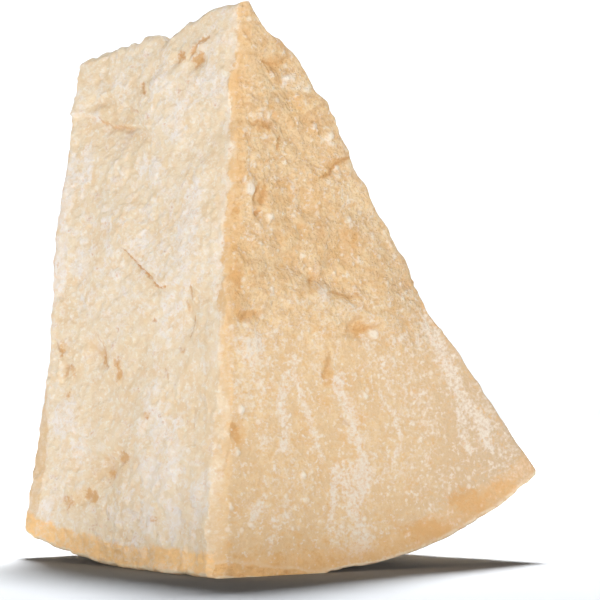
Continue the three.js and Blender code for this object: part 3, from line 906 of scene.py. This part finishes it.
        # Brown marks, partly painted shade in the hollows they sit in
        stain_and_shade = self.total(
            (self.field("stain_and_shade"), 0.31), (self.grain, 0.6), (self.flaky, 0.5), (self.small, 0.3),
        )
        paste = self.flecked(paste, colours.stain_and_shade, stain_and_shade, 0.76, 0.96, 0.85)
        by_rind = self.total(self.field("side_depth"), (self.broad, -9), 4.5)
        by_rind = self.share(by_rind, 1.5, 9.0, 0.48, 0.0)
        by_rind = self.product(by_rind, self.share(self.grain, 0.4, 0.6, 1.0, 0.4))
        paste = self.blend(self.product(by_rind, is_split), paste, colours.stain_and_shade)

        # Painted shade in the hollow colours: between grains, in pits where the relief lies low, and in
        # cracks
        gap = self.share(self.field("gap"), 0.0, 0.5, 0.38, 0.0)
        gap = self.product(gap, self.share(self.grain, 0.55, 0.38))
        gap = self.product(gap, self.field("rough"))
        pit = self.share(self.field("relief"), -3.4, -1.4, 0.38, 0.0)
        pit = self.product(pit, self.share(self.middle, 0.35, 0.6))
        crack = self.math("DIVIDE", self.field("crack"), self.share(self.small, 0.35, 0.65, 0.6, 1.5))
        crack = self.product(self.share(crack, 0.2, 1.7, 0.95, 0.0), self.field("dark"))
        hollow_shade = self.larger(crack, self.larger(gap, pit))
        return self.blend(hollow_shade, paste, self.blend(is_split, colours.near_hollow, colours.front_hollow))

    def crystals(self):
        """Where white crystals show: the large ones by their place, small ones scattered."""
        scattered = self.larger(self.dots(2.6, 4.0, 0.8), self.dots(4.6, 6.0, 0.72))
        rim = self.total(self.field("crystal"), self.share(self.small, 0.3, 0.7, -0.35, 0.35))
        return self.larger(scattered, self.share(rim, -0.8, 0.6, 0.7, 0.0))

    def with_rind(self, paste, is_split):
        """The rind's cut edge along the side, brightened there as painted light, and along the end, its skin
        outside and under the chipped toe, and painted highlights along the bottom edge and on the chip's rim.
        """
        colours, side_depth, chip = self.colours, self.field("side_depth"), self.field("chip")
        ragged = self.share(self.middle, 0.3, 0.7, -1.2, 1.2)
        worn = self.share(self.grain, 0.4, 0.62, 1.0, 0.6)

        end = self.total(self.field("end_depth"), ragged, self.share(side_depth, 34.0, 60.0, -3.4, 2.4))
        end = self.share(end, 2.6, 4.2, 1.0, 0.0)
        end = self.product(end, self.share(self.broad, 0.35, 0.6, 0.5, 1.0))
        surface = self.blend(self.product(end, worn), paste, colours.tan)

        # Painted light: the band of cut rind along the bottom, which lies in shade, takes the brightened rind
        # colour
        side = self.share(self.total(side_depth, ragged), self.rind - 1.2, self.rind + 0.8, 0.9, 0.0)
        side = self.product(side, self.share(is_split, 0.0, 1.0, 1.0, 0.2))
        brightened_cut_rind = self.blend(self.share(self.flaky, 0.4, 0.6, 0.35, 0.0), colours.rind, colours.skin)
        surface = self.blend(self.product(side, worn), surface, brightened_cut_rind)

        skin = self.flecked(colours.skin, colours.rind, self.flaky, 0.3, 0.7, 0.5)
        skin = self.flecked(skin, colours.near_hollow, self.speck, 0.46, 0.34, 0.6)
        skin = self.flecked(skin, colours.cream, self.speck, 0.56, 0.68, 0.35)
        bare = self.larger(self.field("outside"), self.share(chip, 0.2, 0.9))
        surface = self.blend(bare, surface, skin)

        # Painted highlight: pale cream within about 1.8 mm of the side rind, which makes a pale line along
        # the bottom edge and also pales the side rind's outside
        edge_highlight = self.between(side_depth, -0.4, 0.0, 0.8, 1.8)
        edge_highlight = self.product(edge_highlight, self.share(self.grain, 0.4, 0.55, 0.3, 0.9))
        # Painted highlight: a faint pale line along the top of the chipped toe
        rim = self.product(self.between(chip, -1.4, -0.3, 0.0, 0.5), 0.25)
        return self.blend(self.larger(rim, edge_highlight), surface, colours.cream)

    def crumb_bump(self, crystals):
        """Fine crumb, strongest where the split is granular."""
        height = self.total(
            (self.speck, 0.8), (self.small, 0.6), (self.cells(1.2, 2.0).outputs["Distance"], -0.35),
            (crystals, 0.35), (self.grain, 1.0),
        )
        strength = self.math("MULTIPLY_ADD", self.field("rough"), 0.5, 0.4)
        inputs = {"Height": height, "Strength": strength, "Distance": 0.8 * MM}
        return self.node("ShaderNodeBump", inputs).outputs[0]

    def made(self):
        paste, is_split = self.both_breaks()
        crystals = self.crystals()
        paste = self.blend(crystals, self.marked(paste, is_split), self.colours.crystal)
        shader = self.node("ShaderNodeBsdfPrincipled", {
            "Base Color": self.with_rind(paste, is_split),
            "Roughness": self.share(self.speck, 0.3, 0.7, 0.6, 0.85),
            "Subsurface Weight": 0.12,
            "Subsurface Radius": (1.0, 0.6, 0.35),
            "Subsurface Scale": 1.5 * MM,
            "Specular IOR Level": 0.35,
            "Normal": self.crumb_bump(crystals),
        })
        return self.finish(shader)


class CHEESE_OT_wedge(bpy.types.Operator):
    """Make the wedge with its crags, grains and rind"""

    bl_idname = "cheese.wedge"
    bl_label = "Cheese wedge"

    def execute(self, context):
        size = sizes_in_mm(context)
        piece = bpy.data.objects.new("wedge_of_cheese", wedge_mesh(size))
        context.scene.collection.objects.link(piece)
        bpy.data.collections[FOOD_LIGHTING].objects.link(piece)
        piece.data.materials.append(CheesePaint(context.scene.cheese_colours, size).made())
        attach(piece, "root")
        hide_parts(NODE)
        return {"FINISHED"}


# Studio, in metres

CAMERA_TURN = radians(35.6)
CAMERA_AWAY = 1.2075
CAMERA_RIGHT = 0.03946
CAMERA_HEIGHT = 0.0913
LENS = 210
SENSOR_WIDTH = 36
ACROSS = Vector((cos(CAMERA_TURN), -sin(CAMERA_TURN), 0))
AHEAD = Vector((sin(CAMERA_TURN), cos(CAMERA_TURN), 0))
UP = Vector((0, 0, 1))

SWEEP_RADIUS = 2.0
SWEEP_BEND = 0.45
SWEEP_TOP = 0.5
SWEEP_SIDES = 96
AMBIENT = 0.04
MIDDLE = Vector((0.02, 0, 0.08))
FOOT = Vector((0, 0, 0.02))

# Lights of the paper and of the cheese, as (name, right, back, height, width, watts, what it points at)
FLOOR_LIGHT = ("floor_light", 0.05, 0.55, 1.1, 0.3, 41, MIDDLE)
SOFTBOXES = (
    ("top_softbox", 0.0, 0.0, 1.2, 1.0, 4.5, MIDDLE),
    ("left_softbox", -0.9, -1.3, 0.2, 1.5, 7.5, MIDDLE),
    ("right_softbox", 0.35, -1.3, 0.38, 1.5, 11.4, MIDDLE),
    ("back_softbox", 0.6, 1.2, 0.7, 1.5, 9.0, MIDDLE),
    ("low_softbox", 0.0, -0.25, -0.1, 0.15, 0.05, FOOT),
)
# Lights that face the wall all around, as (name, right, back, watts)
WALL_LIGHTS = (("ahead", 0, 1, 74), ("right", 1, 0, 44), ("behind", 0, -1, 34), ("left", -1, 0, 44))
WALL_LIGHT_HEIGHT = 0.9
WALL_LIGHT_OUT = 0.3
WALL_LIGHT_WIDTH = 0.4


def seen_place(right, back, height):
    """A place given by how far to the right and to the back it is, as the camera sees it."""
    return ACROSS * right + AHEAD * back + UP * height


def add_light(context, lit, name, right, back, height, width, power, target):
    """A soft round light for one collection only. The paper doesn't shade the cheese from its own lights."""
    lamp = bpy.data.lights.new(name, "AREA")
    lamp.shape = "DISK"
    lamp.size = width
    lamp.energy = power
    light = bpy.data.objects.new(name, lamp)
    light.location = seen_place(right, back, height)
    light.rotation_euler = (target - light.location).to_track_quat("-Z", "Y").to_euler()
    light.light_linking.receiver_collection = lit
    if lit.name == FOOD_LIGHTING:
        light.light_linking.blocker_collection = lit
    context.scene.collection.objects.link(light)


def add_lights(context, food, paper):
    add_light(context, paper, *FLOOR_LIGHT)
    for name, right, back, power in WALL_LIGHTS:
        at = (WALL_LIGHT_OUT * right, WALL_LIGHT_OUT * back, WALL_LIGHT_HEIGHT)
        wall = seen_place(SWEEP_RADIUS * right, SWEEP_RADIUS * back, WALL_LIGHT_HEIGHT)
        add_light(context, paper, "wall_light_" + name, *at, WALL_LIGHT_WIDTH, power, wall)
    for softbox in SOFTBOXES:
        add_light(context, food, *softbox)


def sweep_mesh():
    """A round floor that curves up into a low wall all around."""
    arc = np.linspace(0, pi / 2, 13)
    flat = [(radius, 0.0) for radius in (0.4, 0.8, 1.2)]
    inner = SWEEP_RADIUS - SWEEP_BEND
    bend = [(inner + SWEEP_BEND * sin(t), SWEEP_BEND - SWEEP_BEND * cos(t)) for t in arc]
    profile = flat + bend + [(SWEEP_RADIUS, SWEEP_TOP)]
    turns = [2 * pi * i / SWEEP_SIDES for i in range(SWEEP_SIDES)]
    points = [(r * cos(a), r * sin(a), z) for r, z in profile for a in turns] + [(0, 0, 0)]
    pairs = [(i, (i + 1) % SWEEP_SIDES) for i in range(SWEEP_SIDES)]
    faces = [(len(points) - 1, i, j) for i, j in pairs]
    for row in range(len(profile) - 1):
        low, high = row * SWEEP_SIDES, (row + 1) * SWEEP_SIDES
        faces += [(low + i, high + i, high + j, low + j) for i, j in pairs]
    mesh = bpy.data.meshes.new("studio_sweep")
    mesh.from_pydata(points, [], faces)
    mesh.polygons.foreach_set("use_smooth", [True] * len(faces))
    return mesh


def paper_paint(tone):
    paint = Paint("studio_paper")
    shader = paint.node("ShaderNodeBsdfPrincipled", {
        "Base Color": (*tone, 1),
        "Roughness": 0.9,
        "Specular IOR Level": 0.0,
    })
    return paint.finish(shader)


def studio_world():
    world = bpy.data.worlds.new("studio")
    world.use_nodes = True
    background = world.node_tree.nodes["Background"]
    background.inputs["Color"].default_value = (1, 1, 1, 1)
    background.inputs["Strength"].default_value = AMBIENT
    return world


def studio_camera():
    camera = bpy.data.objects.new("camera", bpy.data.cameras.new("camera"))
    camera.data.lens = LENS
    camera.data.sensor_width = SENSOR_WIDTH
    camera.location = seen_place(CAMERA_RIGHT, -CAMERA_AWAY, CAMERA_HEIGHT)
    camera.rotation_euler = (pi / 2, 0, -CAMERA_TURN)
    return camera


class CHEESE_OT_stage(bpy.types.Operator):
    """Set up the pale floor, the soft lights and the camera"""

    bl_idname = "cheese.stage"
    bl_label = "Studio"

    def execute(self, context):
        scene = context.scene
        sweep = bpy.data.objects.new("studio_sweep", sweep_mesh())
        scene.collection.objects.link(sweep)
        sweep.data.materials.append(paper_paint(scene.cheese_colours.floor))
        food, paper = [bpy.data.collections.new(name) for name in (FOOD_LIGHTING, PAPER_LIGHTING)]
        paper.objects.link(sweep)
        add_lights(context, food, paper)
        scene.world = studio_world()
        scene.camera = studio_camera()
        scene.collection.objects.link(scene.camera)
        scene.view_settings.view_transform = "Standard"
        return {"FINISHED"}


class CHEESE_PT_panel(bpy.types.Panel):
    """The wedge's sizes, colours and makers"""

    bl_label = "Hard cheese wedge"
    bl_idname = "CHEESE_PT_panel"
    bl_space_type = "VIEW_3D"
    bl_region_type = "UI"
    bl_category = "Cheese"

    def draw(self, context):
        for group in (context.scene.cheese_sizes, context.scene.cheese_colours):
            box = self.layout.box()
            for name in group.bl_rna.properties.keys():
                if name not in ("rna_type", "name"):
                    box.prop(group, name)
        for operator in (CHEESE_OT_stage, CHEESE_OT_wedge):
            self.layout.operator(operator.bl_idname)


CLASSES = (CheeseSizes, CheeseColours, CHEESE_OT_stage, CHEESE_OT_wedge, CHEESE_PT_panel)


def register():
    for cls in CLASSES:
        bpy.utils.register_class(cls)
    bpy.types.Scene.cheese_sizes = PointerProperty(type=CheeseSizes)
    bpy.types.Scene.cheese_colours = PointerProperty(type=CheeseColours)


def unregister():
    del bpy.types.Scene.cheese_colours
    del bpy.types.Scene.cheese_sizes
    for cls in reversed(CLASSES):
        bpy.utils.unregister_class(cls)


def main():
    register()
    bpy.ops.cheese.stage()
    bpy.ops.cheese.wedge()
    bpy.context.view_layer.update()


if __name__ == "__main__":
    main()
